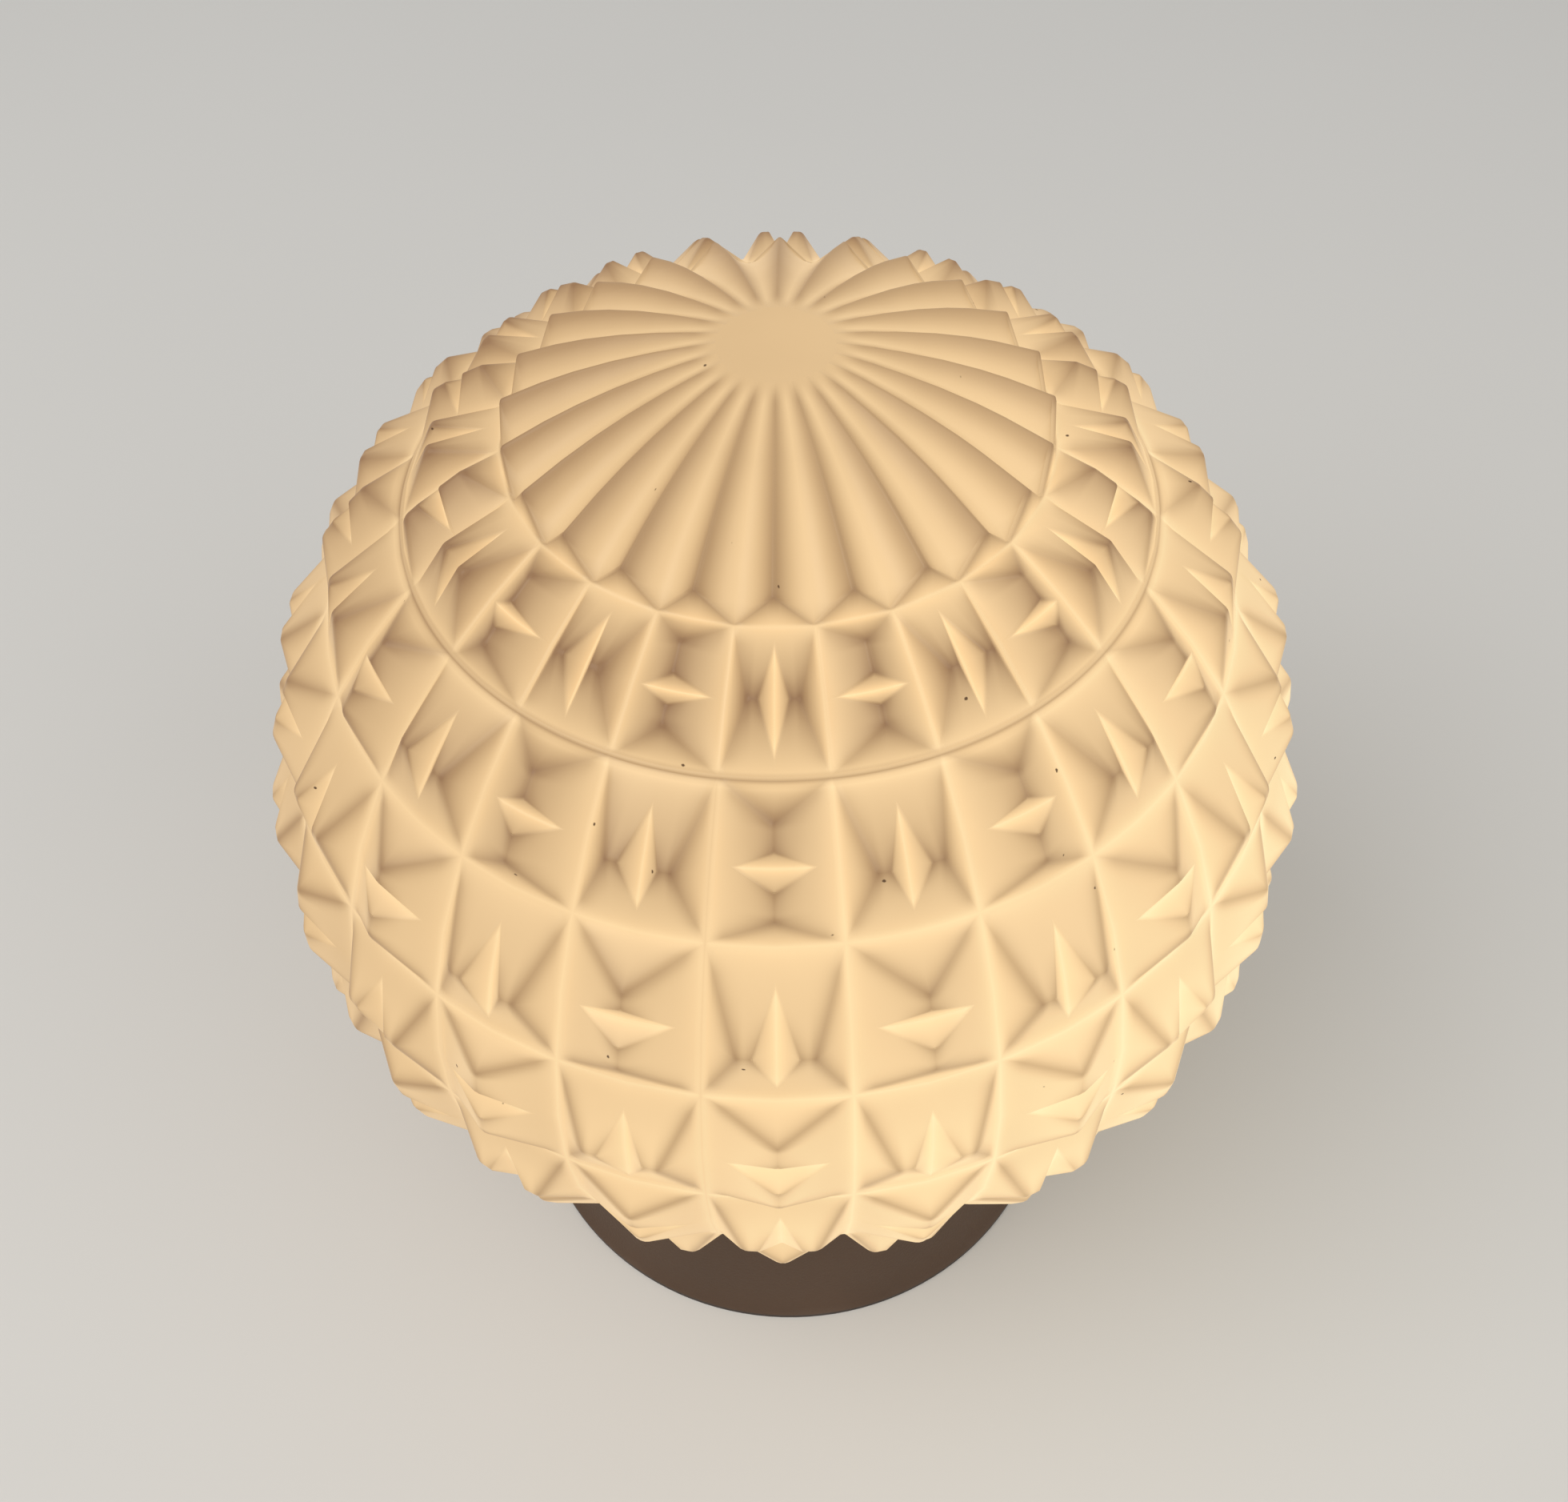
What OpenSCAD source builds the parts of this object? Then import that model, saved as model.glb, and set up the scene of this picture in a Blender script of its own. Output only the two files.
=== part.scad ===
// Ceiling light: a faceted pressed-glass globe that screws into a moulded cone base.
// A porcelain screw lampholder stands in the base and carries a filament bulb.
// The ceiling face is z = 0 and the glass points along +Z, as the light stands on a table.

/* [Globe] */
// Radius of the glass at the bottom of its grooves
globe_r = 85.3; // [75:0.1:110]
// Height of the raised facets above the grooves
relief_h = 4.7; // [2:0.1:6]
// Glass thickness below the grooves
glass_wall = 3.5; // [2.5:0.1:5]
// Facet columns round the globe, an even number
facet_cols = 24; // [16:2:32]
// Polar angle from the top to the first groove ring
cap_angle = 28.4; // [22:0.1:32]
// Polar angles of the four facet rows between the cap and the equator
row_steps = [13.4, 15.3, 17.1, 17.4];
// Facet rows below the equator, a mirror of those above
rows_below = 3; // [1:1:3]
// Run of a facet's hipped end, in half facet widths
hip_share = 0.5; // [0.35:0.05:0.65]
// Half width of the notch across a facet's ridge, in half facet widths
notch_share = 0.32; // [0.2:0.01:0.34]
// Heights of the notches' floors in those four rows, in facet heights
notch_floors = [0.25, 0.37, 0.34, 0.34];
// Radius of the plain disc on top
disc_r = 8.5; // [6:0.5:14]
// Run of the hip that ends each flute of the cap
flute_hip = 2.7; // [2:0.1:6]
// Drop from the facets' lowest groove to the plain shoulder
shoulder_drop = 0.7; // [0.5:0.1:1.5]

/* [Screw neck] */
// Outside diameter of the glass neck
neck_d = 84.5; // [70:0.5:92]
// Length of the neck below the shoulder
neck_len = 13.5; // [8:0.5:20]
// Glass thickness of the neck
neck_wall = 4; // [2.5:0.1:6]
// Width of the flat shoulder that presses on the gasket
shoulder_w = 3.8; // [2.5:0.1:6]
// Thickness of the rubber gasket
gasket_t = 2.5; // [1.5:0.1:4]
// Room between the neck and the mouth of the base
neck_gap = 0.45; // [0.3:0.05:1]

/* [Base] */
// Radius of the rim that lies on the ceiling
base_r = 60; // [54:0.5:90]
// Height from the ceiling to the mouth
base_h = 48; // [40:0.5:70]
// Wall of the cone
base_wall = 3.5; // [2.5:0.1:5]
// Wall of the collar round the neck
collar_wall = 5.5; // [4:0.1:8]
// Height of the upright collar at the mouth
collar_h = 7; // [3:0.5:12]
// Height of the upright band at the rim
rim_h = 2.2; // [1:0.1:5]
// Step from the rim band to the cone
rim_step = 0.8; // [0.3:0.1:2]
// Thickness of the floor
floor_t = 3.5; // [2.5:0.1:6]
// Recess of the floor behind the rim
floor_recess = 3; // [2.6:0.1:3.8]
// Distance between the two ceiling screw holes
ceiling_spacing = 74; // [70:0.5:80]
// Diameter of the ceiling screw holes
ceiling_hole_d = 5.2; // [4:0.1:7]
// Height of the pads round the ceiling screw holes
pad_h = 2; // [1:0.5:3]
// Width of the pads outside the holes
pad_w = 3.6; // [2:0.1:5]
// Diameter of the cable hole in the grommet
cable_d = 8; // [5:0.5:11]
// Rubber between the cable and the floor's hole
grommet_wall = 2.5; // [1.5:0.1:4]
// Width of the grommet's flanges outside the hole
grommet_flange = 2.4; // [1:0.1:4]
// Thickness of each grommet flange
grommet_lip = 1.6; // [1:0.1:2.2]

/* [Lampholder] */
// Height of the two posts that carry the lampholder
post_h = 4; // [3:0.5:8]
// Wall of the posts round their screws
post_wall = 3.5; // [2:0.1:5]
// Thickness of the porcelain foot
foot_t = 7; // [5:0.5:10]
// Height of the porcelain from foot to rim
holder_h = 33.5; // [28:0.5:40]
// Porcelain under the threaded shell
socket_floor_t = 9; // [7.5:0.5:12]
// Porcelain wall round the threaded shell
holder_wall = 5; // [3:0.5:8]
// Sheet thickness of the threaded shell
shell_t = 0.5; // [0.3:0.1:0.8]
// Room between the bulb's cap and the threaded shell
cap_gap = 0.5; // [0.3:0.05:0.8]
// Height of the spring tongue over the socket's floor
tongue_h = 4.2; // [3.5:0.1:5]
// Thickness of the spring tongue
tongue_t = 0.5; // [0.3:0.1:0.8]
// Width of the spring tongue
tongue_w = 5; // [4:0.5:6]
// Width of the brass terminals
terminal_w = 9; // [7:0.5:11]
// Depth of the brass terminals, along the radius
terminal_l = 7; // [6:0.5:9]
// Height of the brass terminals
terminal_h = 8; // [6:0.5:10]
// Diameter of the terminals' wire holes
wire_hole_d = 3.4; // [2.5:0.1:4]
// Thickness of the brass straps under the foot
strap_t = 1; // [0.6:0.1:1.4]
// Width of the brass straps
strap_w = 6; // [4:0.5:8]
// Thread diameter of the holder's fixing screws
holder_screw_d = 4; // [3:0.5:5]
// Thread diameter of the terminal and shell screws
small_screw_d = 3; // [2:0.1:3.4]

/* [Bulb] */
// Diameter of the bulb
bulb_d = 60; // [50:1:65]
// Length of the bulb from contact to crown
bulb_len = 105; // [98:1:120]
// Diameter of the screw cap over its plain body
cap_d = 25.8; // [24:0.1:27]
// Height of the screw cap over its contact
cap_h = 26.5; // [24:0.5:29]
// Glass thickness of the bulb
bulb_wall = 0.9; // [0.6:0.1:1.5]
// Sheet thickness of the cap
cap_t = 0.4; // [0.3:0.1:0.6]
// Diameter of the contact on the cap's end
tip_d = 9; // [7:0.5:11]
// Height of the contact on the cap's end
tip_h = 1.3; // [0.8:0.1:2]
// Height of the black insulator over the contact
insulator_h = 4; // [3:0.5:5]
// Height of the filament over the contact
filament_z = 70; // [64:1:76]
// Width of the filament between its leads
filament_w = 30; // [20:1:36]
// Thickness of the coiled filament
filament_d = 0.8; // [0.5:0.1:1.2]

/* [Hidden] */
$fn = 96;
// Sides of the globe's plain spheres
globe_fn = 240;

// Overrun of a cut past the face it leaves
cut = 1;
// Run of a solid into the one that it is fused to
fuse = 1;
// Room between faces that seat on each other
seat_gap = 0.2;
// Room of a part that is slipped into a hole or channel
slip = 0.15;
// Edge round of the moulded base and the porcelain
edge_r = 1.5;
// Floor left under the holder's screws
screw_floor = 1;
// Room between the porcelain foot and the grommet's flange
grommet_room = 2;
// Room between the end of the neck and the cone's inside
neck_room = 1;
// Depth at which a strap lies over the foot's underside
strap_sink = 1;
// Distance of the threaded shell's screws from its wall
shell_screw_in = 4;
// Porcelain between the blind shell screw and the strap
blind_floor = 1.5;
// Room between a terminal screw's end and the wire hole
clamp_room = 0.5;
// Room between the spring tongue and the hole in the shell's floor
tongue_room = 0.6;

// Heights up the base and the lampholder
floor_z = floor_recess + floor_t;
holder_z = floor_z + post_h;
foot_z = holder_z + foot_t;
socket_z = holder_z + socket_floor_t;
holder_top = holder_z + holder_h;
tip_z = socket_z + tongue_h + seat_gap;

// Radii of the lampholder, from the bulb's cap outwards
cap_r = cap_d / 2;
shell_r = cap_r + cap_gap;
socket_r = shell_r + shell_t + slip;
barrel_r = socket_r + holder_wall;
foot_margin = 0.6;
foot_r = barrel_r + terminal_l + 2 * foot_margin;
terminal_y = barrel_r + foot_margin + terminal_l / 2;
post_x = (barrel_r + foot_r) / 2;
post_r = holder_screw_d / 2 + post_wall;
strap_room = strap_t + strap_sink;
tail_t = 1.2;
tail_w = 5;
shell_screw_y = shell_r - shell_screw_in;
shell_hole_r = shell_screw_y - small_screw_d;

// The neck, its seat in the base and the globe over it
neck_r = neck_d / 2;
mouth_r = neck_r + neck_gap;
collar_r = mouth_r + collar_wall;
shoulder_z = base_h + gasket_t + 2 * seat_gap;
shoulder_r = neck_r + shoulder_w;
neck_z = shoulder_z - neck_len;
skin_r = globe_r - shoulder_drop;
globe_z = shoulder_z + sqrt(skin_r * skin_r - shoulder_r * shoulder_r);
inner_r = globe_r - glass_wall;
neck_bore_r = neck_r - neck_wall;

// The base's cone, outside and inside
cone_foot_r = base_r - rim_step;
cone_slope = (cone_foot_r - collar_r) / (base_h - collar_h - rim_h);
wall_run = base_wall * sqrt(1 + cone_slope * cone_slope);
bore_z = neck_z - neck_room;
function cone_r(z) = cone_foot_r - cone_slope * (z - rim_h);
recess_r = base_r - rim_step - base_wall;
hole_x = ceiling_spacing / 2;
hole_r = ceiling_hole_d / 2;
grommet_r = cable_d / 2 + grommet_wall;
grommet_y = foot_r + grommet_room + grommet_r + grommet_flange;

// A straight round wire from p to q
module wire(p, q, d) {
    run = q - p;
    reach = norm(run);
    translate(p)
        rotate([0, acos(run[2] / reach), atan2(run[1], run[0])])
            cylinder(d = d, h = reach);
}

// A slotted screw with its head on z = 0 and its shank below
module slotted_screw(d, shank) {
    head_r = d * 0.95;
    head_h = d * 0.55;
    difference() {
        union() {
            cylinder(r = head_r, h = head_h);
            translate([0, 0, -shank]) cylinder(d = d, h = shank + head_h / 2);
        }
        translate([-head_r - cut, -d / 8, head_h / 2]) cube([2 * (head_r + cut), d / 4, head_h]);
    }
}

// The moulded base: cone wall, floor, collar, screw pads and the lampholder's posts
module base_shell() {
    color([0.2, 0.2, 0.21])
    difference() {
        union() {
            difference() {
                rotate_extrude() polygon(base_outline());
                rotate_extrude() polygon(base_inside());
                translate([0, 0, bore_z]) cylinder(r = mouth_r, h = base_h - bore_z + cut);
            }
            for (s = [-1, 1]) {
                translate([s * hole_x, 0, floor_z - cut]) cylinder(r = hole_r + pad_w, h = pad_h + cut);
                translate([s * post_x, 0, floor_z - cut]) cylinder(r = post_r, h = post_h + cut);
            }
        }
        translate([0, 0, -cut]) cylinder(r = recess_r, h = floor_recess + cut);
        for (s = [-1, 1]) {
            translate([s * hole_x, 0, 0]) cylinder(r = hole_r, h = floor_z + pad_h + cut);
            translate([s * post_x, 0, floor_recess + screw_floor])
                cylinder(d = holder_screw_d + 2 * slip, h = holder_z);
        }
        translate([0, grommet_y, 0]) cylinder(r = grommet_r, h = floor_z + cut);
    }
}

// Half section of the base's outside, with a rounded mouth
function base_outline() = concat(
    [[0, 0], [base_r, 0], [base_r, rim_h - rim_step], [cone_foot_r, rim_h],
        [collar_r, base_h - collar_h]],
    [for (a = [0 : 15 : 90]) [collar_r - edge_r + edge_r * cos(a), base_h - edge_r + edge_r * sin(a)]],
    [[0, base_h]]);

// Half section of the room inside the cone, over the floor
function base_inside() = [[0, floor_z], [cone_r(floor_z) - wall_run, floor_z],
    [max(mouth_r, cone_r(bore_z) - wall_run), bore_z], [mouth_r - cut, bore_z + cut], [0, bore_z + cut]];

// Rubber grommet that lines the cable hole in the base's floor
module cable_grommet() {
    color([0.05, 0.05, 0.05])
    translate([0, grommet_y, 0])
    rotate_extrude() polygon([
        [cable_d / 2, floor_recess - grommet_lip], [grommet_r + grommet_flange, floor_recess - grommet_lip],
        [grommet_r + grommet_flange, floor_recess], [grommet_r - slip, floor_recess],
        [grommet_r - slip, floor_z], [grommet_r + grommet_flange, floor_z],
        [grommet_r + grommet_flange / 2, floor_z + grommet_lip], [cable_d / 2, floor_z + grommet_lip]]);
}

// Porcelain lampholder: a round foot, a barrel with the socket, and channels for its brass
module lampholder_body() {
    tail_room = tail_t + 2 * slip;
    color([0.93, 0.91, 0.87])
    difference() {
        union() {
            translate([0, 0, holder_z]) cylinder(r = foot_r, h = foot_t);
            translate([0, 0, holder_z]) cylinder(r = barrel_r, h = holder_h - edge_r);
            translate([0, 0, holder_top - edge_r])
                cylinder(r1 = barrel_r, r2 = barrel_r - edge_r, h = edge_r);
        }
        translate([0, 0, socket_z]) cylinder(r = socket_r, h = holder_h);
        for (s = [-1, 1]) {
            translate([s * post_x, 0, holder_z - cut])
                cylinder(d = holder_screw_d + 4 * slip, h = foot_t + 2 * cut);
            // Slots for the terminals' tails
            translate([-tail_w / 2 - slip, s * terminal_y - tail_room / 2, holder_z - cut])
                cube([tail_w + 2 * slip, tail_room, foot_t + 2 * cut]);
            // Screw holes of the threaded shell
            translate([0, s * shell_screw_y, socket_z - shell_screw_run(s) - slip])
                cylinder(d = small_screw_d + 2 * slip, h = holder_h);
        }
        strap_channel(1, strap_start(1));
        strap_channel(-1, strap_start(-1));
        translate([0, 0, holder_z - cut]) cylinder(d = small_screw_d + 2 * slip, h = holder_h);
    }
}

// The neutral side's shell screw goes through to its strap, the other ends in the porcelain
function shell_screw_run(s) = s < 0 ? socket_floor_t : socket_floor_t - strap_room - blind_floor;
// A strap starts just inside the screw or rivet that it hangs on
function strap_start(s) = s < 0 ? shell_screw_y - strap_w / 2 : -strap_w / 2;

// Channel under the foot for a strap on side s
module strap_channel(s, start) {
    run = terminal_y + tail_t - start;
    translate([-strap_w / 2 - slip, s > 0 ? start - slip : -start - run - slip, holder_z - cut])
        cube([strap_w + 2 * slip, run + 2 * slip, strap_room + cut]);
}

// Two slotted screws that hold the lampholder on its posts
module holder_screws() {
    color([0.62, 0.62, 0.64])
    for (s = [-1, 1])
        translate([s * post_x, 0, foot_z]) slotted_screw(holder_screw_d, foot_t + post_h + screw_floor);
}

// A brass terminal with a wire hole, a screw hole and a tail that goes through the foot
module terminal(s) {
    tail_end = holder_z + strap_room;
    color([0.78, 0.6, 0.28])
    difference() {
        union() {
            translate([-terminal_w / 2, s * terminal_y - terminal_l / 2, foot_z])
                cube([terminal_w, terminal_l, terminal_h]);
            translate([-tail_w / 2, s * terminal_y - tail_t / 2, tail_end])
                cube([tail_w, tail_t, foot_z - tail_end + fuse]);
        }
        translate([0, s * terminal_y, foot_z + wire_hole_d])
            rotate([90, 0, 0]) cylinder(d = wire_hole_d, h = terminal_l + 2 * cut, center = true);
        translate([0, s * terminal_y, foot_z + wire_hole_d])
            cylinder(d = small_screw_d + 2 * slip, h = terminal_h);
    }
}

module live_terminal() terminal(1);
module neutral_terminal() terminal(-1);

// Screws that clamp the mains wires in the terminals
module terminal_screws() {
    color([0.7, 0.7, 0.72])
    for (s = [-1, 1])
        translate([0, s * terminal_y, foot_z + terminal_h])
            slotted_screw(small_screw_d, terminal_h - wire_hole_d - clamp_room);
}

// A brass strap under the foot, from its screw or rivet to the terminal's tail
module strap(s) {
    start = strap_start(s);
    run = terminal_y + tail_t - start;
    fixing_y = s > 0 ? 0 : -shell_screw_y;
    color([0.78, 0.6, 0.28])
    difference() {
        translate([-strap_w / 2, s > 0 ? start : -start - run, holder_z + strap_room - strap_t - slip])
            cube([strap_w, run, strap_t]);
        translate([0, fixing_y, holder_z]) cylinder(d = small_screw_d + 2 * slip, h = holder_h);
    }
}

module live_strap() strap(1);
module neutral_strap() strap(-1);

// Rivet that ties the spring tongue, through the porcelain, to the live strap
module contact_rivet() {
    head_r = small_screw_d * 0.8;
    head_h = 0.8;
    under_z = holder_z + strap_room - strap_t - slip;
    color([0.78, 0.6, 0.28])
    union() {
        translate([0, 0, under_z - head_h]) cylinder(r = head_r, h = head_h);
        translate([0, 0, under_z - head_h / 2])
            cylinder(d = small_screw_d, h = socket_z + tongue_t + head_h - under_z);
        translate([0, 0, socket_z + tongue_t]) cylinder(r = head_r, h = head_h);
    }
}

// Bronze spring tongue that meets the bulb's contact
module centre_contact() {
    reach = shell_hole_r - tongue_room;
    bend = 1.3;
    tongue = [[-reach, 0], [reach - bend, 0], [reach, bend], [-reach / 3, tongue_h],
        [-reach / 2, tongue_h - tongue_t], [-reach / 3, tongue_h - tongue_t * 1.3],
        [reach - 2 * tongue_t, bend], [reach - bend, tongue_t], [-reach, tongue_t]];
    color([0.72, 0.5, 0.25])
    difference() {
        translate([-tongue_w / 2, 0, socket_z])
            rotate([90, 0, 90]) linear_extrude(tongue_w) polygon(tongue);
        translate([0, 0, socket_z - cut])
            cylinder(d = small_screw_d + 2 * slip, h = cut + tongue_t + 2 * slip);
    }
}

// Threaded metal shell that takes the bulb's cap, screwed to the porcelain through its floor
module lampholder_shell() {
    color([0.8, 0.78, 0.72])
    difference() {
        translate([0, 0, socket_z]) cylinder(r = shell_r + shell_t, h = holder_top - edge_r - socket_z);
        translate([0, 0, socket_z + shell_t]) cylinder(r = shell_r, h = holder_h);
        translate([0, 0, socket_z - cut]) cylinder(r = shell_hole_r, h = holder_h);
        for (s = [-1, 1])
            translate([0, s * shell_screw_y, socket_z - cut])
                cylinder(d = small_screw_d + 2 * slip, h = holder_h);
    }
}

// Screws that hold the threaded shell, one of them carrying the neutral through to its strap
module shell_screws() {
    color([0.7, 0.7, 0.72])
    for (s = [-1, 1])
        translate([0, s * shell_screw_y, socket_z + shell_t])
            slotted_screw(small_screw_d, shell_screw_run(s) + shell_t);
}

// Flat rubber ring on the neck, pressed between the glass shoulder and the mouth
module neck_gasket() {
    color([0.06, 0.06, 0.06])
    translate([0, 0, base_h + seat_gap])
    difference() {
        cylinder(r = shoulder_r, h = gasket_t);
        translate([0, 0, -cut]) cylinder(r = neck_r + 2 * seat_gap, h = gasket_t + 2 * cut);
    }
}

// Facet rows: polar angle of each groove ring, with the rows above the equator mirrored below it
rows_above = len(row_steps);
facet_rows = rows_above + rows_below;
col_step = 360 / facet_cols;
function row_like(i) = i < rows_above ? i : 2 * rows_above - 1 - i;
function row_step(i) = row_steps[row_like(i)];
function ring_angle(i) = i == 0 ? cap_angle : ring_angle(i - 1) + row_step(i - 1);
function row_mid(i) = ring_angle(i) + row_step(i) / 2;
// Half facet width over half facet height in row i
function cell_aspect(i) = sin(row_mid(i)) * col_step / row_step(i);

// The point at polar angle t from the top and azimuth a from the front, h over the grooves
function on_globe(t, a, h) = (globe_r + h) * [sin(t) * sin(a), -sin(t) * cos(a), cos(t)] + [0, 0, globe_z];
// The point of facet (i, k) at u across and v down it, both from -1 to 1
function on_facet(i, k, u, v, h) =
    on_globe(row_mid(i) + v * row_step(i) / 2, (k + u / 2) * col_step, h);

// Ridges run across and down by turns, as on a chessboard
function ridge_is_upright(i, k) = (i + k) % 2 == 1;

// A facet's own points: ridge ends, notch lips, notch tips and the middle of the notch's floor
function facet_points(i, k) =
    let (floor_share = notch_floors[row_like(i)], low = relief_h * floor_share, tip = 1 - floor_share,
        w = cell_aspect(i))
    ridge_is_upright(i, k)
    ? let (end = 1 - hip_share * w, lip = notch_share * w)
        [on_facet(i, k, 0, -end, relief_h), on_facet(i, k, 0, end, relief_h),
            on_facet(i, k, 0, -lip, relief_h), on_facet(i, k, 0, lip, relief_h),
            on_facet(i, k, tip, 0, low), on_facet(i, k, -tip, 0, low), on_facet(i, k, 0, 0, low)]
    : let (end = 1 - hip_share, lip = notch_share)
        [on_facet(i, k, -end, 0, relief_h), on_facet(i, k, end, 0, relief_h),
            on_facet(i, k, -lip, 0, relief_h), on_facet(i, k, lip, 0, relief_h),
            on_facet(i, k, 0, -tip, low), on_facet(i, k, 0, tip, low), on_facet(i, k, 0, 0, low)];

// Numbers of the globe's points: groove rings, upright groove middles, facets, flutes, two centres
ring_pts = 2 * facet_cols;
// Points across a flute, and rings of them along it
flute_steps = 8;
flute_pts = flute_steps * facet_cols;
flute_rings = 6;
mids_at = ring_pts * (facet_rows + 1);
facets_at = mids_at + facet_cols * facet_rows;
flutes_at = facets_at + 7 * facet_cols * facet_rows;
crown_at = flutes_at + flute_pts * (flute_rings + 1);
function ring_pt(i, j) = i * ring_pts + j % ring_pts;
function mid_pt(i, k) = mids_at + i * facet_cols + k % facet_cols;
function flute_pt(m, j) = flutes_at + m * flute_pts + (j + flute_pts) % flute_pts;

// Flutes of the cap run from their hips up to the plain disc and grow shallow on the way
disc_angle = asin(disc_r / (globe_r + relief_h));
fork_angle = cap_angle - flute_hip / globe_r * 180 / PI;
function flute_angle(m) = fork_angle + (disc_angle - fork_angle) * m / flute_rings;
function flute_depth(m) = relief_h * (flute_angle(m) - disc_angle) / (cap_angle - disc_angle);
// A point's share of the way from a flute's middle to its sharp edge
function flute_side(j) = 1 - abs(2 * (j % flute_steps) / flute_steps - 1);
function flute_height(m, j) = relief_h - flute_depth(m) * (1 - flute_side(j) * flute_side(j));

globe_points = concat(
    [for (i = [0 : facet_rows], j = [0 : ring_pts - 1]) on_globe(ring_angle(i), (j - 1) / 2 * col_step, 0)],
    [for (i = [0 : facet_rows - 1], k = [0 : facet_cols - 1]) on_facet(i, k, -1, 0, 0)],
    [for (i = [0 : facet_rows - 1], k = [0 : facet_cols - 1]) each facet_points(i, k)],
    [for (m = [0 : flute_rings], j = [0 : flute_pts - 1])
        on_globe(flute_angle(m), (j / flute_steps - 0.5) * col_step, flute_height(m, j))],
    [[0, 0, globe_z + (globe_r + relief_h) * cos(disc_angle)],
        [0, 0, globe_z + globe_r * cos(ring_angle(facet_rows))]]);

// The eight points round a facet, clockwise from the start of the side that the ridge's first end faces
function facet_edge(i, k) =
    let (a = [ring_pt(i, 2 * k), ring_pt(i, 2 * k + 1), ring_pt(i, 2 * k + 2), mid_pt(i, k + 1)],
        b = [ring_pt(i + 1, 2 * k + 2), ring_pt(i + 1, 2 * k + 1), ring_pt(i + 1, 2 * k), mid_pt(i, k)])
    ridge_is_upright(i, k) ? concat(a, b) : [b[2], b[3], each a, b[0], b[1]];

// Twenty triangles of a facet: two hipped ends, two slopes with a gap for the notch, and the notch
function facet_faces(e, p) = [
    [e[0], e[1], p], [e[1], e[2], p], [e[4], e[5], p + 1], [e[5], e[6], p + 1],
    [e[3], e[4], p + 1], [e[3], p + 1, p + 3], [e[3], p + 3, p + 4],
    [e[3], p + 4, p + 2], [e[3], p + 2, p], [e[3], p, e[2]],
    [e[7], e[0], p], [e[7], p, p + 2], [e[7], p + 2, p + 5],
    [e[7], p + 5, p + 3], [e[7], p + 3, p + 1], [e[7], p + 1, e[6]],
    [p + 2, p + 4, p + 6], [p + 2, p + 6, p + 5], [p + 3, p + 5, p + 6], [p + 3, p + 6, p + 4]];

// The hip between two grooves and the flute's end over one groove
function flute_end_faces(k) =
    let (edge = (k + 0.5) * flute_steps)
    concat(
        [[flute_pt(0, edge), ring_pt(0, 2 * k + 1), ring_pt(0, 2 * k)],
            [flute_pt(0, edge), ring_pt(0, 2 * k + 2), ring_pt(0, 2 * k + 1)]],
        [for (j = [edge - flute_steps : edge - 1]) [flute_pt(0, j), flute_pt(0, j + 1), ring_pt(0, 2 * k)]]);

globe_faces = concat(
    [for (i = [0 : facet_rows - 1], k = [0 : facet_cols - 1])
        each facet_faces(facet_edge(i, k), facets_at + 7 * (i * facet_cols + k))],
    [for (k = [0 : facet_cols - 1]) each flute_end_faces(k)],
    [for (m = [0 : flute_rings - 1], j = [0 : flute_pts - 1]) each [
        [flute_pt(m + 1, j), flute_pt(m + 1, j + 1), flute_pt(m, j + 1)],
        [flute_pt(m + 1, j), flute_pt(m, j + 1), flute_pt(m, j)]]],
    [for (j = [0 : flute_pts - 1]) [flute_pt(flute_rings, j + 1), flute_pt(flute_rings, j), crown_at]],
    [for (j = [0 : ring_pts - 1]) [ring_pt(facet_rows, j), ring_pt(facet_rows, j + 1), crown_at + 1]]);

// Pressed-glass globe: fluted cap, rows of notched roof facets, plain shoulder and screw neck
module glass_globe() {
    facets_z = globe_z + globe_r * cos(ring_angle(facet_rows));
    color([0.96, 0.84, 0.63])
    difference() {
        union() {
            polyhedron(globe_points, globe_faces);
            intersection() {
                translate([0, 0, globe_z]) sphere(r = skin_r, $fn = globe_fn);
                translate([0, 0, shoulder_z]) cylinder(r = globe_r, h = facets_z + fuse - shoulder_z);
            }
            translate([0, 0, neck_z]) cylinder(r = neck_r, h = neck_len + fuse);
        }
        translate([0, 0, globe_z]) sphere(r = inner_r, $fn = globe_fn);
        translate([0, 0, neck_z - cut]) cylinder(r = neck_bore_r, h = globe_z - neck_z);
    }
}

// Heights and radii of the bulb, from its contact up
insulator_z = tip_z + tip_h;
cap_z = insulator_z + insulator_h;
cap_top = tip_z + cap_h;
stem_sink = 6;
stem_z = cap_top - stem_sink;
// Run of the cap's cone-shaped heel
heel = 1.5;
// Width of the insulator outside the contact
insulator_lip = 0.5;
// Straight throat of the bulb over its cap
throat_h = 1;
bulb_r = bulb_d / 2;
bulb_top = tip_z + bulb_len;
throat_r = cap_r - cap_t - slip;
shoulder_angle = 30;

// Solder contact on the end of the bulb's cap
module bulb_tip() {
    color([0.6, 0.6, 0.62])
    translate([0, 0, tip_z]) cylinder(d1 = tip_d * 0.6, d2 = tip_d, h = tip_h - slip);
}

// Black glass insulator between the contact and the cap
module bulb_insulator() {
    color([0.07, 0.06, 0.07])
    translate([0, 0, insulator_z])
        cylinder(r1 = tip_d / 2 + insulator_lip, r2 = cap_r - heel, h = insulator_h);
}

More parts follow.
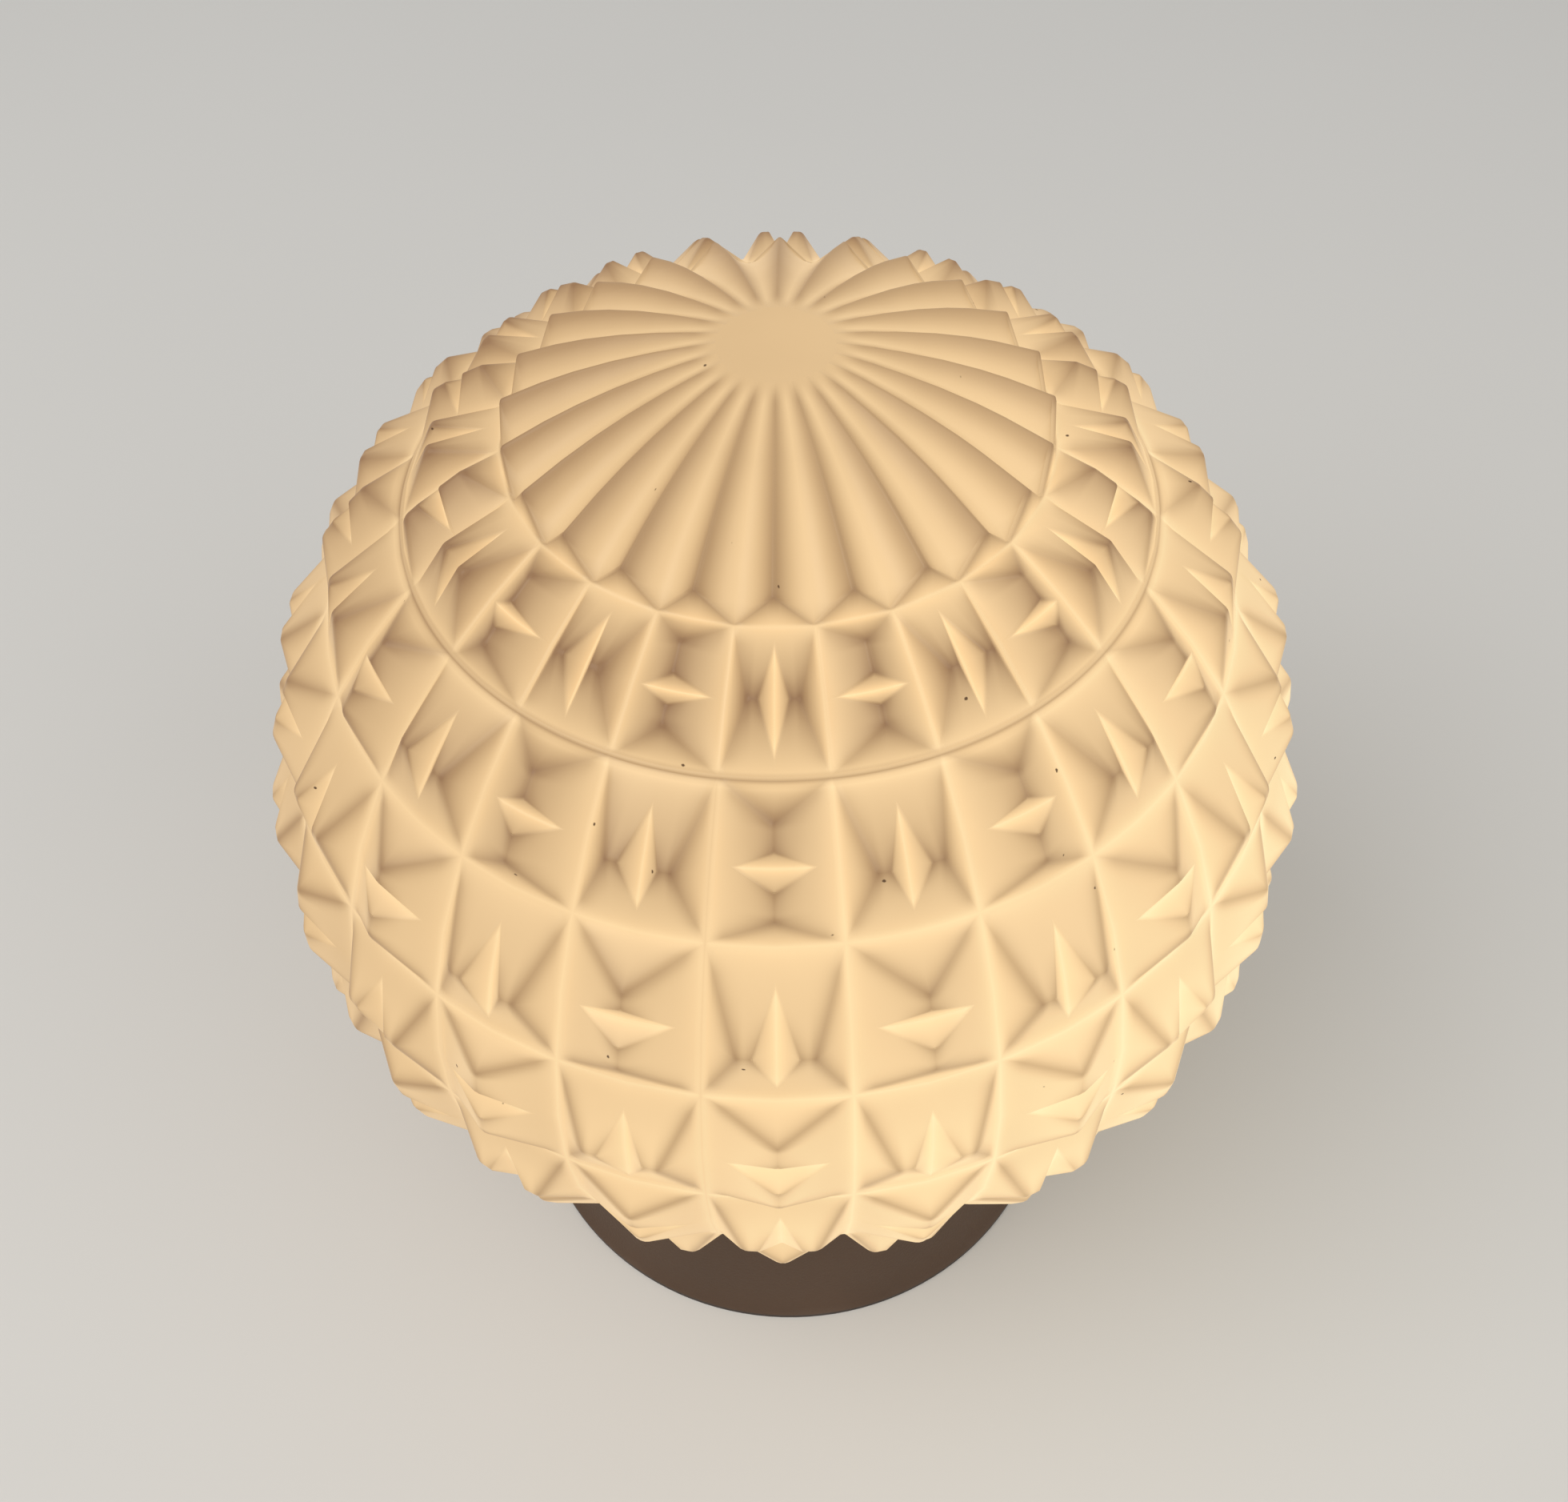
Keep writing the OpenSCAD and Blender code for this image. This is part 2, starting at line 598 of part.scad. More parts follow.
// Sheet-metal screw cap of the bulb
module bulb_cap() {
    heel_r = cap_r - heel;
    turn_in = 2;
    color([0.75, 0.73, 0.68])
    rotate_extrude() polygon([
        [heel_r - turn_in, cap_z], [heel_r, cap_z], [cap_r, cap_z + heel], [cap_r, cap_top],
        [cap_r - cap_t, cap_top], [cap_r - cap_t, cap_z + heel + cap_t], [heel_r, cap_z + cap_t],
        [heel_r - turn_in, cap_z + cap_t]]);
}

// Half section of the bulb's glass, set in by d: throat, swelling shoulder and round crown
function cubic(a, b, c, d, t) =
    a * pow(1 - t, 3) + 3 * b * t * pow(1 - t, 2) + 3 * c * t * t * (1 - t) + d * pow(t, 3);
function bulb_section(d) =
    let (r = bulb_r - d, mid_z = bulb_top - bulb_r,
        low = [throat_r - d, cap_top + throat_h],
        high = [r * cos(shoulder_angle), mid_z - r * sin(shoulder_angle)],
        pull = (high[1] - low[1]) * 0.45)
    concat([[0, stem_z], [throat_r - d, stem_z]],
        [for (t = [0 : 0.1 : 0.95])
            cubic(low, low + [0, pull], high - pull * [sin(shoulder_angle), cos(shoulder_angle)], high, t)],
        [for (a = [-shoulder_angle : 10 : 80]) [r * cos(a), mid_z + r * sin(a)]],
        [[0, mid_z + r]]);

// Thin blown glass of the bulb
module bulb_envelope() {
    color([0.95, 0.93, 0.86])
    difference() {
        rotate_extrude() polygon(bulb_section(0));
        rotate_extrude() polygon(bulb_section(bulb_wall));
    }
}

// Glass stem inside the bulb: flare, tube, pinch and the rod with its button
pinch_drop = 22;
pinch_h = 6;
pinch_t = 3;
button_drop = 8;
button_r = 2.2;
stem_r = 3.5;
rod_r = 1.3;
flare_h = 12;
pinch_z = tip_z + filament_z - pinch_drop;
button_z = tip_z + filament_z - button_drop;
module bulb_stem() {
    flare_r = throat_r - bulb_wall - slip;
    color([0.85, 0.88, 0.88])
    union() {
        rotate_extrude() polygon(concat(
            [[0, stem_z], [flare_r, stem_z]],
            [for (t = [0 : 0.2 : 1])
                cubic([flare_r, stem_z + flare_h / 12], [stem_r, stem_z + flare_h / 3],
                    [stem_r, stem_z + flare_h / 2], [stem_r, stem_z + flare_h], t)],
            [[stem_r, pinch_z], [0, pinch_z]]));
        translate([-stem_r - rod_r, -pinch_t / 2, pinch_z - pinch_h])
            cube([2 * (stem_r + rod_r), pinch_t, pinch_h]);
        translate([0, 0, pinch_z - rod_r]) cylinder(r = rod_r, h = button_z - pinch_z);
        translate([0, 0, button_z - button_r]) sphere(r = button_r);
    }
}

// Points along the filament's arc: its two ends on the leads and three supports between them
wire_d = 0.7;
support_d = 0.42;
lead_x = stem_r - wire_d;
function filament_pt(n) =
    let (a = n * 45) [filament_w / 2 * cos(a), filament_w / 2 * sin(a), tip_z + filament_z];

// Two stiff wires that carry current from the pinch to the filament's ends
module lead_wires() {
    color([0.6, 0.58, 0.55])
    for (n = [0, 4])
        wire([sign(2 - n) * lead_x, 0, pinch_z + slip],
            filament_pt(n) - [0, 0, filament_d / 2 + wire_d / 2 + slip], wire_d);
}

// Three thin wires from the button that hold up the filament
module filament_supports() {
    color([0.5, 0.5, 0.52])
    for (n = [1, 2, 3]) {
        target = filament_pt(n) - [0, 0, filament_d / 2 + wire_d / 2 + slip];
        middle = [0, 0, button_z - button_r];
        start = middle + (button_r + wire_d / 2) * (target - middle) / norm(target - middle);
        wire(start, target, support_d);
    }
}

// Coiled tungsten filament, as the round bundle that its fine coil fills
module filament() {
    color([0.35, 0.34, 0.34])
    translate([0, 0, tip_z + filament_z])
        rotate_extrude(angle = 180) translate([filament_w / 2, 0]) circle(d = filament_d);
}

base_shell();
cable_grommet();
lampholder_body();
holder_screws();
live_terminal();
neutral_terminal();
terminal_screws();
live_strap();
neutral_strap();
contact_rivet();
centre_contact();
lampholder_shell();
shell_screws();
neck_gasket();
glass_globe();
bulb_tip();
bulb_insulator();
bulb_cap();
bulb_envelope();
bulb_stem();
lead_wires();
filament_supports();
filament();
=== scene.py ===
"""Ceiling light: a pressed-glass globe, lit from inside, that screws into a dark moulded base."""

import math

import bpy
from mathutils import Matrix, Vector


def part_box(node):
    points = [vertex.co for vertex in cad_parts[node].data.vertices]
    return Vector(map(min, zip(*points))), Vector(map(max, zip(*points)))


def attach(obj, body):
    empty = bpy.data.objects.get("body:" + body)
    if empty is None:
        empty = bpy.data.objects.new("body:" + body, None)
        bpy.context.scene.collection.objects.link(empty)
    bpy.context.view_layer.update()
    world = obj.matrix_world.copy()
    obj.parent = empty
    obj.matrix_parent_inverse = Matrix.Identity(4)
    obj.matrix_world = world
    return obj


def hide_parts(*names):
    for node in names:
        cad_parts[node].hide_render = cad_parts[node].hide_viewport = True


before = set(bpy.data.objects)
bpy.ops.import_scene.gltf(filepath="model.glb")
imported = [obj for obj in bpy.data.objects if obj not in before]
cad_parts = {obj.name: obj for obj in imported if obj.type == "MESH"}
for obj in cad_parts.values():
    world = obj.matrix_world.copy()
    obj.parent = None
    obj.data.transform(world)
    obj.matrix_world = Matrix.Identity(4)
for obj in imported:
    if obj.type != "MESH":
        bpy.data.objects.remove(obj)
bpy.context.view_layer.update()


# Base: a cone of dark moulded plastic with a collar round the glass and a rim that meets the ceiling.
# It comes out of its mould in one piece, satin all over, with the glass's thread inside its mouth.


class Socket:
    """A socket of a finish: arithmetic on it adds Math nodes, and node() adds any other kind."""

    def __init__(self, tree, out):
        self.tree = tree
        self.out = out

    def node(self, kind, settings, inputs, out=0):
        made = self.tree.nodes.new("ShaderNode" + kind)
        for name, value in settings.items():
            if name == "stops":
                ramp = made.color_ramp.elements
                ramp.remove(ramp[1])
                ramp[0].position, ramp[0].color = value[0]
                for position, shade in value[1:]:
                    ramp.new(position).color = shade
            elif name == "steps":
                made.color_ramp.interpolation = value
            else:
                setattr(made, name, value)
        for key, value in inputs.items():
            if isinstance(value, Socket):
                self.tree.links.new(value.out, made.inputs[key])
            else:
                made.inputs[key].default_value = value
        return Socket(self.tree, made.outputs[out])

    def math(self, operation, *others):
        return self.node("Math", {"operation": operation}, dict(enumerate((self, *others))))

    def after(self, operation, other):
        return self.node("Math", {"operation": operation}, {0: other, 1: self})

    def __add__(self, other):
        return self.math("ADD", other)

    def __sub__(self, other):
        return self.math("SUBTRACT", other)

    def __rsub__(self, other):
        return self.after("SUBTRACT", other)

    def __mul__(self, other):
        return self.math("MULTIPLY", other)

    def __truediv__(self, other):
        return self.math("DIVIDE", other)

    def __rtruediv__(self, other):
        return self.after("DIVIDE", other)

    def __abs__(self):
        return self.math("ABSOLUTE")

    __radd__ = __add__
    __rmul__ = __mul__

    def least(self, other):
        return self.math("MINIMUM", other)

    def most(self, other):
        return self.math("MAXIMUM", other)

    def share(self, start, end):
        """0 at start and 1 at end, evenly between them."""
        return self.node("MapRange", {}, {"Value": self, "From Min": start, "From Max": end})

    def fade(self, start, end):
        """Smoothly 0 at start and 1 at end, in either order."""
        limits = {"Value": self, "From Min": start, "From Max": end}
        return self.node("MapRange", {"interpolation_type": "SMOOTHSTEP"}, limits)

    def glow(self, reach):
        """1 where this distance is 0, dying away over this reach."""
        return (self * (-1 / reach)).math("EXPONENT")

    def mix(self, low, high):
        """The colour low where this value is 0, high where it is 1."""
        return self.node("Mix", {"data_type": "RGBA"}, {0: self, 6: low, 7: high}, out=2)

    def noise(self, size, detail=4.0):
        """Cloudy noise about 0.5 with lumps of this size."""
        return self.node("TexNoise", {}, {"Vector": self, "Scale": 1 / size, "Detail": detail})

    def bump(self, height, depth):
        """The normal of a relief this deep, whose height goes from 0 to 1."""
        return self.node("Bump", {}, {"Height": height, "Distance": depth})

    def axis(self, number):
        return self.node("SeparateXYZ", {}, {0: self}, out=number)

    def specks(self, spacing, radius, kept):
        """1 on round specks of this radius, in this share of the cells that lie this far apart."""
        jitter = self.node("TexNoise", {}, {"Vector": self, "Scale": 0.5 / radius}, out="Color")
        moves = {0: jitter, 1: [radius] * 3, 2: self}
        ragged = self.node("VectorMath", {"operation": "MULTIPLY_ADD"}, moves)
        cells = {"Vector": ragged, "Scale": 1 / spacing}
        near = self.node("TexVoronoi", {}, cells, out="Distance")
        lot = self.node("TexVoronoi", {}, cells, out="Color").axis(0)
        return near.fade(radius / spacing, 0.5 * radius / spacing) * lot.fade(kept + 0.01, kept)


def colour(red, green, blue):
    """A colour as a photo shows it, 0 to 255, in the linear values that a shader takes."""
    shares = [value / 255 for value in (red, green, blue)]
    return (*[s / 12.92 if s <= 0.04045 else ((s + 0.055) / 1.055) ** 2.4 for s in shares], 1)


def new_finish(name, **constants):
    """A material, its shader and its Object coordinates. The constants are set on the shader."""
    finish = bpy.data.materials.new(name)
    finish.use_nodes = True
    shader = finish.node_tree.nodes["Principled BSDF"]
    for socket, value in constants.items():
        shader.inputs[socket.replace("_", " ")].default_value = value
    place = finish.node_tree.nodes.new("ShaderNodeTexCoord")
    return finish, shader, Socket(finish.node_tree, place.outputs["Object"])


def feed(shader, **sockets):
    """Links what changes over a surface to the shader's sockets."""
    for name, source in sockets.items():
        source.tree.links.new(source.out, shader.inputs[name.replace("_", " ")])


def select_only(piece):
    bpy.ops.object.select_all(action="DESELECT")
    piece.select_set(True)
    bpy.context.view_layer.objects.active = piece


def modify(piece, kind, **settings):
    """Adds a modifier with these settings and applies it."""
    select_only(piece)
    modifier = piece.modifiers.new(kind.title(), kind)
    for name, value in settings.items():
        setattr(modifier, name, value)
    bpy.ops.object.modifier_apply(modifier=modifier.name)


SHARP_EDGE = math.radians(35)


def round_edges(piece, width, segments=2):
    """Rounds the sharp edges of a piece over this width."""
    modify(piece, "BEVEL", width=width, segments=segments, limit_method="ANGLE", angle_limit=SHARP_EDGE,
           use_clamp_overlap=True)


def pick(piece, kind, chosen):
    """Selects those vertices, edges or faces of a piece that are chosen."""
    select_only(piece)
    bpy.ops.object.mode_set(mode="EDIT")
    bpy.ops.mesh.select_mode(type={"vertices": "VERT", "edges": "EDGE", "polygons": "FACE"}[kind])
    bpy.ops.mesh.select_all(action="DESELECT")
    bpy.ops.object.mode_set(mode="OBJECT")
    for item in getattr(piece.data, kind):
        item.select = chosen(item)
    bpy.ops.object.mode_set(mode="EDIT")


LEVEL = 0.999
FLAT_EDGE = math.radians(0.5)
SAME_CORNER = 1e-6


def workpiece(node, name):
    """A copy of a CAD node to work on, its corners merged and its faces made whole, but for level ones."""
    piece = bpy.data.objects.new(name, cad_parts[node].data.copy())
    bpy.context.scene.collection.objects.link(piece)
    select_only(piece)
    bpy.ops.object.mode_set(mode="EDIT")
    bpy.ops.mesh.select_all(action="SELECT")
    bpy.ops.mesh.remove_doubles(threshold=SAME_CORNER)
    bpy.ops.object.mode_set(mode="OBJECT")
    pick(piece, "polygons", lambda face: abs(face.normal.z) < LEVEL)
    bpy.ops.mesh.dissolve_limited(angle_limit=FLAT_EDGE)
    bpy.ops.object.mode_set(mode="OBJECT")
    return piece


ON_WALL = 2e-5


def roll_thread(piece, wall, low, high, middle, depth, pitch, root, cuts):
    """Rolls a right-hand thread into a round wall. At both ends it runs out to its root, 1 out or -1 in."""

    def on_wall(point):
        return abs(point.co.xy.length - wall) < ON_WALL

    def upright(edge):
        ends = [piece.data.vertices[index] for index in edge.vertices]
        return all(map(on_wall, ends)) and abs(ends[0].co.z - ends[1].co.z) > pitch

    pick(piece, "edges", upright)
    bpy.ops.mesh.subdivide(number_cuts=cuts)
    bpy.ops.object.mode_set(mode="OBJECT")
    for point in piece.data.vertices:
        if on_wall(point) and low - ON_WALL < point.co.z < high + ON_WALL:
            wave = math.cos(2 * math.pi * point.co.z / pitch - math.atan2(point.co.y, point.co.x))
            share = max(0, min(1, (point.co.z - low) / pitch, (high - point.co.z) / pitch))
            radius = middle + depth * (wave * share + root * (1 - share))
            point.co.xy = point.co.xy * (radius / point.co.xy.length)


def dress(piece, finish, body, slot, *nodes, smooth=30):
    """Gives a finished piece its material and its body, and hides the CAD nodes that it stands for. The slot
    is not used.
    """
    modify(piece, "TRIANGULATE", min_vertices=5)
    piece.data.materials.clear()
    piece.data.materials.append(finish)
    select_only(piece)
    bpy.ops.object.shade_smooth_by_angle(angle=math.radians(smooth))
    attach(piece, body)
    if nodes:
        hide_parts(*nodes)


BASE_EDGE = 0.0005
MOUTH_R = 0.0427
MOUTH_DEEP = 0.0109
MOUTH_THREAD = 0.0426
GLASS_THREAD_DEPTH = 0.0005
GLASS_PITCH = 0.006
MOULD_CLOUD = 0.03
MOULD_GRAIN = 0.0006
GRAIN_DEEP = 0.00008
SCUFF_SIZE = 0.0022
SCUFF_STRETCH = (1, 1, 0.12)
SCUFF_SHARE = 0.15
LOW_PATCH_HIGH = 0.003
LOW_PATCH_SHARE = 0.3
FOOT_SHADOW_BAND = (0.0014, 0.0007)
FOOT_SHADOW_SHARE = 0.7
BASE_DARK, BASE_PALE = colour(77, 59, 45), colour(92, 71, 55)
BASE_LOW_PALE = colour(112, 94, 80)
BASE_FOOT_SHADOW = colour(34, 27, 23)
base_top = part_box("base_shell")[1].z
base = workpiece("base_shell", "moulded_base")
round_edges(base, BASE_EDGE)
roll_thread(base, MOUTH_R, base_top - MOUTH_DEEP, base_top, MOUTH_THREAD, GLASS_THREAD_DEPTH, GLASS_PITCH,
            root=1, cuts=26)
base_plastic, shader, place = new_finish("base_plastic", Specular_IOR_Level=0.3)
cloud = place.noise(MOULD_CLOUD)
grain = place.noise(MOULD_GRAIN, detail=6)
scuffs = place.node("Mapping", {}, {0: place, "Scale": SCUFF_STRETCH}).noise(SCUFF_SIZE, detail=5)
height = place.axis(2)
plain = ((1 - SCUFF_SHARE) * cloud + SCUFF_SHARE * scuffs).mix(BASE_DARK, BASE_PALE)
# The lowest few millimetres of the base are lighter in patches.
low_patches = height.fade(LOW_PATCH_HIGH, 0) * cloud.fade(0.4, 0.62)
patched = (low_patches * LOW_PATCH_SHARE).mix(plain, BASE_LOW_PALE)
# Painted contact shadow: the lowest band of the rim is painted near black, where shade falls as the base
# meets the ceiling.
foot_shadow = height.fade(*FOOT_SHADOW_BAND)
feed(shader, Base_Color=(FOOT_SHADOW_SHARE * foot_shadow).mix(patched, BASE_FOOT_SHADOW),
     Roughness=0.4 + 0.16 * grain + 0.12 * scuffs, Normal=place.bump(grain, GRAIN_DEEP))
dress(base, base_plastic, "base", "base_plastic", "base_shell")


# Cable grommet: a black rubber bush that is pressed into the cable hole of the base's floor.
# The rubber is dull, with a bloom where it has dried.


def coat(finish, *nodes):
    """Gives CAD nodes that keep their own shape their finish."""
    for node in nodes:
        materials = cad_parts[node].data.materials
        materials.clear()
        materials.append(finish)


BLOOM_SIZE = 0.004
RUBBER_GRAIN = 0.0003
RUBBER_GRAIN_DEEP = 0.00004
RUBBER_BLACK, RUBBER_BLOOM = colour(34, 33, 32), colour(58, 56, 54)
black_rubber, shader, place = new_finish("black_rubber", Specular_IOR_Level=0.25)
bloom = place.noise(BLOOM_SIZE, detail=6)
feed(shader, Base_Color=bloom.fade(0.35, 0.75).mix(RUBBER_BLACK, RUBBER_BLOOM),
     Roughness=0.62 + 0.2 * bloom, Normal=place.bump(place.noise(RUBBER_GRAIN), RUBBER_GRAIN_DEEP))
coat(black_rubber, "cable_grommet")


# Lampholder: a glazed porcelain body on the base's floor, held by two zinc-plated steel screws. It carries
# brass terminals, a bronze contact on its rivet, and the nickel-plated shell with the bulb's screw thread.

PORCELAIN_EDGE = 0.0004
SHELL_R = 0.0134
SHELL_SHEET = 0.0005
SHELL_THREAD = 0.01315
BULB_THREAD_DEPTH = 0.00035
BULB_PITCH = 0.003629
GLAZE_POOL = 0.012
GLAZE_RIPPLE = 0.002
RIPPLE_DEEP = 0.00006
SPECKS_APART = 0.004
SPECK_R = 0.00022
SPECKS_KEPT = 0.4
GLAZE_DARK, GLAZE_PALE = colour(218, 213, 200), colour(234, 230, 220)
KILN_SPECK = colour(122, 96, 70)
holder = workpiece("lampholder_body", "porcelain_holder")
round_edges(holder, PORCELAIN_EDGE)
porcelain, shader, place = new_finish("porcelain", Coat_Weight=0.7, Coat_Roughness=0.06)
pool = place.noise(GLAZE_POOL)
kiln_specks = place.specks(SPECKS_APART, SPECK_R, SPECKS_KEPT)
glaze = pool.mix(GLAZE_DARK, GLAZE_PALE)
feed(shader, Base_Color=kiln_specks.mix(glaze, KILN_SPECK), Roughness=0.22 + 0.2 * pool,
     Normal=place.bump(place.noise(GLAZE_RIPPLE), RIPPLE_DEEP))
dress(holder, porcelain, "base", "porcelain", "lampholder_body")


TARNISH_SIZE = 0.005
SCRATCH_SHARE = 0.35
SCRATCH_DEEP = 0.08


def metal(name, dull, bright, rough, grit):
    """A metal finish between two tints, with scratches of this size."""
    finish, shader, place = new_finish(name, Metallic=1.0)
    tarnish = place.noise(TARNISH_SIZE, detail=6)
    scratch = place.noise(grit, detail=6)
    wear = ((1 - SCRATCH_SHARE) * tarnish + SCRATCH_SHARE * scratch).fade(0.3, 0.7)
    feed(shader, Base_Color=wear.mix(colour(*dull), colour(*bright)),
         Roughness=rough + 0.3 * (tarnish - 0.5) + 0.2 * (scratch - 0.5),
         Normal=place.bump(scratch, grit * SCRATCH_DEEP))
    return finish


coat(metal("zinc_steel", (150, 152, 154), (196, 198, 200), rough=0.36, grit=0.0004),
     "holder_screws", "shell_screws")
coat(metal("terminal_brass", (168, 132, 66), (214, 180, 104), rough=0.3, grit=0.0005),
     "live_terminal", "neutral_terminal", "terminal_screws", "contact_rivet")
coat(metal("spring_bronze", (150, 104, 64), (198, 146, 96), rough=0.3, grit=0.0004),
     "live_strap", "neutral_strap", "centre_contact")
nickel_brass = metal("nickel_brass", (164, 160, 150), (208, 204, 194), rough=0.24, grit=0.0006)
shell_low, shell_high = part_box("lampholder_shell")
shell = workpiece("lampholder_shell", "threaded_shell")
for sheet in (0, SHELL_SHEET):
    roll_thread(shell, SHELL_R + sheet, shell_low.z + SHELL_SHEET, shell_high.z, SHELL_THREAD + sheet,
                BULB_THREAD_DEPTH, BULB_PITCH, root=1, cuts=49)
dress(shell, nickel_brass, "base", "nickel_brass", "lampholder_shell", smooth=40)


# Neck gasket: a flat ring of black rubber that the glass's shoulder squeezes on the rim of the base.
# It is cut from sheet, and its edges have gone round in use.

GASKET_EDGE = 0.0004
gasket = workpiece("neck_gasket", "rubber_gasket")
round_edges(gasket, GASKET_EDGE, segments=3)
dress(gasket, black_rubber, "gasket", "black_rubber", "neck_gasket")


# Glass globe: opal glass pressed in a mould and lit from inside by the bulb. A plain disc and a fluted
# cap lie over seven rows of notched roof facets. It screws into the base by its neck.

GROOVE_R = 0.0853
RELIEF = 0.0047
DISC_R = 0.0085
COLUMN = 2 * math.pi / 24
CAP_ANGLE = math.radians(28.4)
ROW_STEPS = [math.radians(step) for step in (13.4, 15.3, 17.1, 17.4, 17.4, 17.1, 15.3)]
NOTCH_FLOORS = (0.25, 0.37, 0.34, 0.34, 0.34, 0.34, 0.37)
FLUTE_HIP = 0.0027
HIP_SHARE = 0.5
UPRIGHT_HIPS = ((0.6, 0.85), (0.6, 0.6), (0.72, 0.6)) + ((HIP_SHARE, HIP_SHARE),) * 4
RIDGE_DROPS = (0, 0.1, 0.15, 0, 0, 0, 0)
NOTCH_SHARE = 0.32
OFF_GROOVE = 0.1
AT_RIDGE = 0.95
NOTCH_CLEAR = 1.1
IN_NOTCH = 0.05
GLASS_EDGE = 0.0013
NOTCH_ROUND = 0.5
CREST_ROUND = 1.5
CREASE = math.radians(38)
HAIR_ANGLE = 0.001
NECK_R = 0.04225
NECK_LONG = 0.0135
NECK_THREAD = 0.04175
BEAD_R = 0.0007
BEAD_SUNK = 0.00035
SEAM_TURN = math.radians(-7.5)
glass_low, glass_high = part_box("glass_globe")
disc_angle = math.asin(DISC_R / (GROOVE_R + RELIEF))
globe_z = glass_high.z - (GROOVE_R + RELIEF) * math.cos(disc_angle)
seam_angle = CAP_ANGLE + ROW_STEPS[0]

globe = workpiece("glass_globe", "pressed_globe")
centre = Vector((0, 0, globe_z))

# In the photo upright roofs have longer hips than in the CAD, and some lying ridges hang lower. So each
# corner above the grooves slides up or down its facet, by its height over the groove
for point in globe.data.vertices:
    arm = point.co - centre
    angle = arm.angle((0, 0, 1))
    tall = (arm.length - GROOVE_R) / RELIEF
    column = round(math.atan2(arm.x, -arm.y) / COLUMN)
    ring = CAP_ANGLE
    for number, step in enumerate(ROW_STEPS):
        if tall > OFF_GROOVE and ring < angle < ring + step:
            v = (angle - ring) / step * 2 - 1
            aspect = math.sin(ring + step / 2) * COLUMN / step
            if (number + column) % 2 == 0:
                moved = v + RIDGE_DROPS[number] * tall
            elif tall > AT_RIDGE and abs(v) > NOTCH_CLEAR * NOTCH_SHARE * aspect:
                moved = math.copysign(1 - UPRIGHT_HIPS[number][v > 0] * aspect, v)
            else:
                moved = v
            flat = arm.xy.normalized()
            angle = ring + (moved + 1) / 2 * step
            point.co = centre + arm.length * Vector((*(flat * math.sin(angle)), math.cos(angle)))
            break
        ring += step

# Edges that stand out are rounded: less towards the pole, where the facets narrow, and in the notches
sides = {}
for face in globe.data.polygons:
    for edge in face.edge_keys:
        sides.setdefault(edge, []).append(face.normal)
rounding = globe.data.attributes.new("bevel_weight_edge", "FLOAT", "EDGE")
for edge in globe.data.edges:
    normals = sides[edge.key]
    if len(normals) == 2 and normals[0].angle(normals[1]) > CREASE:
        ends = [globe.data.vertices[index].co - centre for index in edge.vertices]
        low, high = sorted((end.length - GROOVE_R) / RELIEF for end in ends)
        notched = IN_NOTCH < low < AT_RIDGE
        share = min(math.sin(end.angle((0, 0, 1))) for end in ends)
        if high > AT_RIDGE and ends[0].angle((0, 0, 1)) < CAP_ANGLE - HAIR_ANGLE:
            share *= CREST_ROUND
        rounding.data[edge.index].value = share * (NOTCH_ROUND if notched else 1)
modify(globe, "BEVEL", width=GLASS_EDGE, segments=3, limit_method="WEIGHT", use_clamp_overlap=False)
roll_thread(globe, NECK_R, glass_low.z, glass_low.z + NECK_LONG, NECK_THREAD, GLASS_THREAD_DEPTH,
            GLASS_PITCH, root=-1, cuts=28)

# The bead where the mould's two halves meet, half sunk in the glass
bead_reach = GROOVE_R - BEAD_SUNK
bpy.ops.object.select_all(action="DESELECT")
bpy.ops.mesh.primitive_torus_add(major_segments=240, minor_segments=14, minor_radius=BEAD_R,
                                 major_radius=bead_reach * math.sin(seam_angle),
                                 location=(0, 0, globe_z + bead_reach * math.cos(seam_angle)))
bead = bpy.context.object
bpy.ops.object.transform_apply()
select_only(globe)
bead.select_set(True)
bpy.ops.object.join()


# Light on a facet, from the upper rows to the lower ones, and how far from its line each fold shows
UPPER_ROWS, LOWER_ROWS = math.radians(38), math.radians(83)
FACET_LIGHT = (0.72, 0.73)
HEIGHT_LIGHT = (-0.43, 0.15)
GROOVE_LIGHT = (0.04, 0.19)
VALLEY_LIGHT = (0.17, 0.2)
NOTCH_LIGHT = (0.07, -0.03)
HIP_DARK = (0.16, 0.37)
RIDGE_DARK = (0.17, 0.12)
LIP_DARK = (0.2, 0.28)
HIP_REACH = (0.0013, 0.0011)
HIP_FOOT, HIP_TOP = (0.02, 0.3), (1.25, 1)
RIDGE_REACH = 0.00105
LIP_REACH = 0.0009
LIP_FADE = (0.5, 1)
NOTCH_EDGE = (-0.0002, 0.0005)
VALLEY_REACH = 0.0013
GROOVE_REACH = 0.0012
BLUNT = 1.4
TABLE_ROWS = 16
UNDER_TWO = 1.99998

# Light on the disc and the flutes, and on the plain shoulder and neck
DISC_LIGHT = 0.55
DISC_FADE = 0.045
FLUTE_LIGHT = 0.17
CREST_DARK, CREST_DARKER = 0.38, 0.14
FORK_DARK = 0.4
FORK_REACH = 0.001
BOTH_DARK = 0.4
CREST_END = 1.6
CREST_NARROW = 0.66
CREST_REACH, CREST_SPREAD = 0.0013, 0.16
CAP_RING_LIGHT = 0.12
CAP_FADE = 0.003
SHOULDER_LIGHT = 0.78
SHOULDER_FADE = 0.004
NECK_DARK = 0.5
TURN_LIGHT = 0.3

